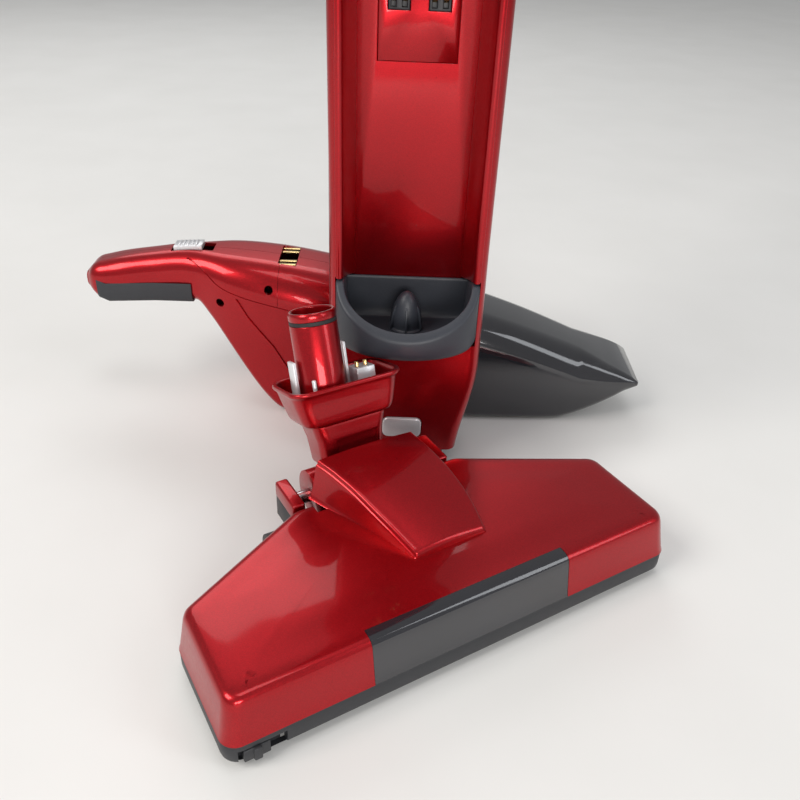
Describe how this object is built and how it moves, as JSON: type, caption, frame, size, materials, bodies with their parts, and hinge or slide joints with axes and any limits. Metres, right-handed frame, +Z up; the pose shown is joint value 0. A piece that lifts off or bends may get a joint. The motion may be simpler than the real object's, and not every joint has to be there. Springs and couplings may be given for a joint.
{
  "type": "upright vacuum cleaner",
  "caption": "Cordless upright vacuum cleaner taken apart: standing body with docking bay, floor head with tilting neck, and hand unit with dust cup.",
  "frame": {"origin": "where the axis of the body's neck socket meets the surface that all three units stand on", "axes": "+Z up along the standing body, -Y out of its front and its bay, +X to the right seen from the front"},
  "size_m": [0.403, 0.363, 0.996],
  "materials": {
    "metallic_red": "metallic red lacquer",
    "dark_trim": "dark red trim",
    "black_plastic": "fine matt grain",
    "grey_plastic": "satin grey",
    "soft_grip": "soft matt",
    "seal_rubber": "matt",
    "silver_plastic": "silver lacquer",
    "steel": "bright",
    "brass_contact": "bright",
    "smoked_lens": "smoky clear",
    "bristle": "nylon",
    "board": "circuit board",
    "filter_cloth": "pleated",
    "cell_wrap": "shrink wrap"
  },
  "bodies": {
    "stick": {"front_casing": "metallic_red", "rear_casing": "metallic_red", "side_trim": "dark_trim", "foot_plate": "black_plastic", "bay_liner": "metallic_red", "bay_panel": "metallic_red", "contact_plate": "metallic_red", "contact_blocks": "black_plastic", "contact_springs": "brass_contact", "dock_cup": "grey_plastic", "cup_cone": "grey_plastic", "socket_sleeve": "black_plastic", "socket_seal": "seal_rubber", "air_duct": "grey_plastic", "connector_socket": "black_plastic", "release_spring": "steel", "grip_loop": "metallic_red", "grip_pad": "soft_grip", "body_screws": "steel"},
    "release_button": {"release_button": "silver_plastic"},
    "dock_latch": {"dock_latch": "black_plastic"},
    "power_slider": {"power_slider": "silver_plastic"},
    "floor_head": {"head_cover": "metallic_red", "head_base": "black_plastic", "window_lens": "smoked_lens", "led_board": "board", "hood_cover": "metallic_red", "brush_bearings": "black_plastic", "brush_motor": "steel", "wheel_axles": "steel", "barrel_pins": "steel", "head_screws": "steel", "drive_belt": "seal_rubber"},
    "brush_roll": {"brush_core": "grey_plastic", "brush_bristles": "bristle"},
    "motor_pulley": {"motor_pulley": "brass_contact"},
    "rear_wheel_left": {"rear_wheel_left": "black_plastic"},
    "rear_wheel_right": {"rear_wheel_right": "black_plastic"},
    "front_rollers": {"front_rollers": "grey_plastic"},
    "toe_latch": {"toe_latch": "black_plastic"},
    "neck_barrel": {"pivot_barrel": "metallic_red"},
    "neck": {"neck_yoke": "metallic_red", "neck_tray": "metallic_red", "neck_tube": "metallic_red", "tube_seal": "seal_rubber", "connector_block": "silver_plastic", "connector_pins": "brass_contact", "guide_ribs": "silver_plastic"},
    "hand_unit": {"case_near": "metallic_red", "case_far": "metallic_red", "case_ring": "metallic_red", "hand_grip_pad": "soft_grip", "fan_motor": "steel", "battery_cells": "cell_wrap", "charge_pads": "brass_contact"},
    "hand_switch": {"hand_switch": "silver_plastic"},
    "dust_cup": {"dust_cup": "smoked_lens", "cup_filter": "filter_cloth"},
    "cup_catch": {"cup_catch": "smoked_lens"},
    "fan_wheel": {"fan_wheel": "black_plastic"}
  },
  "joints": [
    {"name": "release_button", "type": "slide", "parent": "stick", "child": "release_button", "axis": [0, 1, 0], "range_m": [0, 0.0024], "stiffness_N_per_m": 600, "springref_m": -0.0015, "deforming": ["release_spring"]},
    {"name": "upper_catch", "type": "hinge", "parent": "stick", "child": "dock_latch", "pos_m": [0.009, 0.0065, 0.545], "axis": [1, 0, 0], "range_deg": [0, 14], "stiffness_Nm_per_rad": 0.4, "springref_deg": -5.73},
    {"name": "power_slider", "type": "slide", "parent": "stick", "child": "power_slider", "axis": [0, 0, -1], "range_m": [0, 0.008]},
    {"name": "floor_head_roll", "type": "slide", "parent": "stick", "child": "floor_head", "axis": [0.515, -0.8572, 0], "range_m": [0, 0.2]},
    {"name": "neck_tilt", "type": "hinge", "parent": "floor_head", "child": "neck_barrel", "pos_m": [-0.01371, -0.08128, 0.034], "axis": [-0.8572, -0.515, 0], "range_deg": [0, 58]},
    {"name": "neck_swivel", "type": "hinge", "parent": "neck_barrel", "child": "neck", "pos_m": [-0.02057, -0.0854, 0.034], "axis": [-0.1592, 0.2649, 0.9511], "range_deg": [-35, 35]},
    {"name": "spin_brush", "type": "hinge", "parent": "floor_head", "child": "brush_roll", "pos_m": [0.03367, -0.16014, 0.0175], "axis": [0.8572, 0.515, 0], "continuous": true},
    {"name": "spin_motor_pulley", "type": "hinge", "parent": "floor_head", "child": "motor_pulley", "pos_m": [0.01513, -0.12928, 0.024], "axis": [0.8572, 0.515, 0], "continuous": true},
    {"name": "wheel_left_spin", "type": "hinge", "parent": "floor_head", "child": "rear_wheel_left", "pos_m": [-0.0599, -0.1277, 0.013], "axis": [0.8572, 0.515, 0], "continuous": true},
    {"name": "wheel_right_spin", "type": "hinge", "parent": "floor_head", "child": "rear_wheel_right", "pos_m": [0.04896, -0.06229, 0.013], "axis": [0.8572, 0.515, 0], "continuous": true},
    {"name": "wheels_front_spin", "type": "hinge", "parent": "floor_head", "child": "front_rollers", "pos_m": [0.01307, -0.12586, 0.005], "axis": [0.8572, 0.515, 0], "continuous": true},
    {"name": "toe_latch", "type": "slide", "parent": "floor_head", "child": "toe_latch", "axis": [0.8572, 0.515, 0], "range_m": [0, 0.005]},
    {"name": "hand_unit_lift", "type": "slide", "parent": "stick", "child": "hand_unit", "axis": [0, 0, 1], "range_m": [0, 0.22]},
    {"name": "slide_switch", "type": "slide", "parent": "hand_unit", "child": "hand_switch", "axis": [0.9976, 0, 0.0698], "range_m": [0, 0.006]},
    {"name": "dust_cup_off", "type": "slide", "parent": "hand_unit", "child": "dust_cup", "axis": [1, 0, 0], "range_m": [0, 0.1]},
    {"name": "touch_catch", "type": "slide", "parent": "dust_cup", "child": "cup_catch", "axis": [-0.1908, 0, -0.9816], "range_m": [0, 0.0015], "stiffness_N_per_m": 500, "springref_m": -0.001},
    {"name": "spin_fan", "type": "hinge", "parent": "hand_unit", "child": "fan_wheel", "pos_m": [-0.015, 0.071, 0.052], "axis": [1, 0, 0], "continuous": true}
  ],
  "couplings": [
    {"joint": "neck_tilt", "follows": "floor_head_roll", "rad_per_m": 5},
    {"joint": "spin_motor_pulley", "follows": "spin_brush", "ratio": 1.8065}
  ]
}
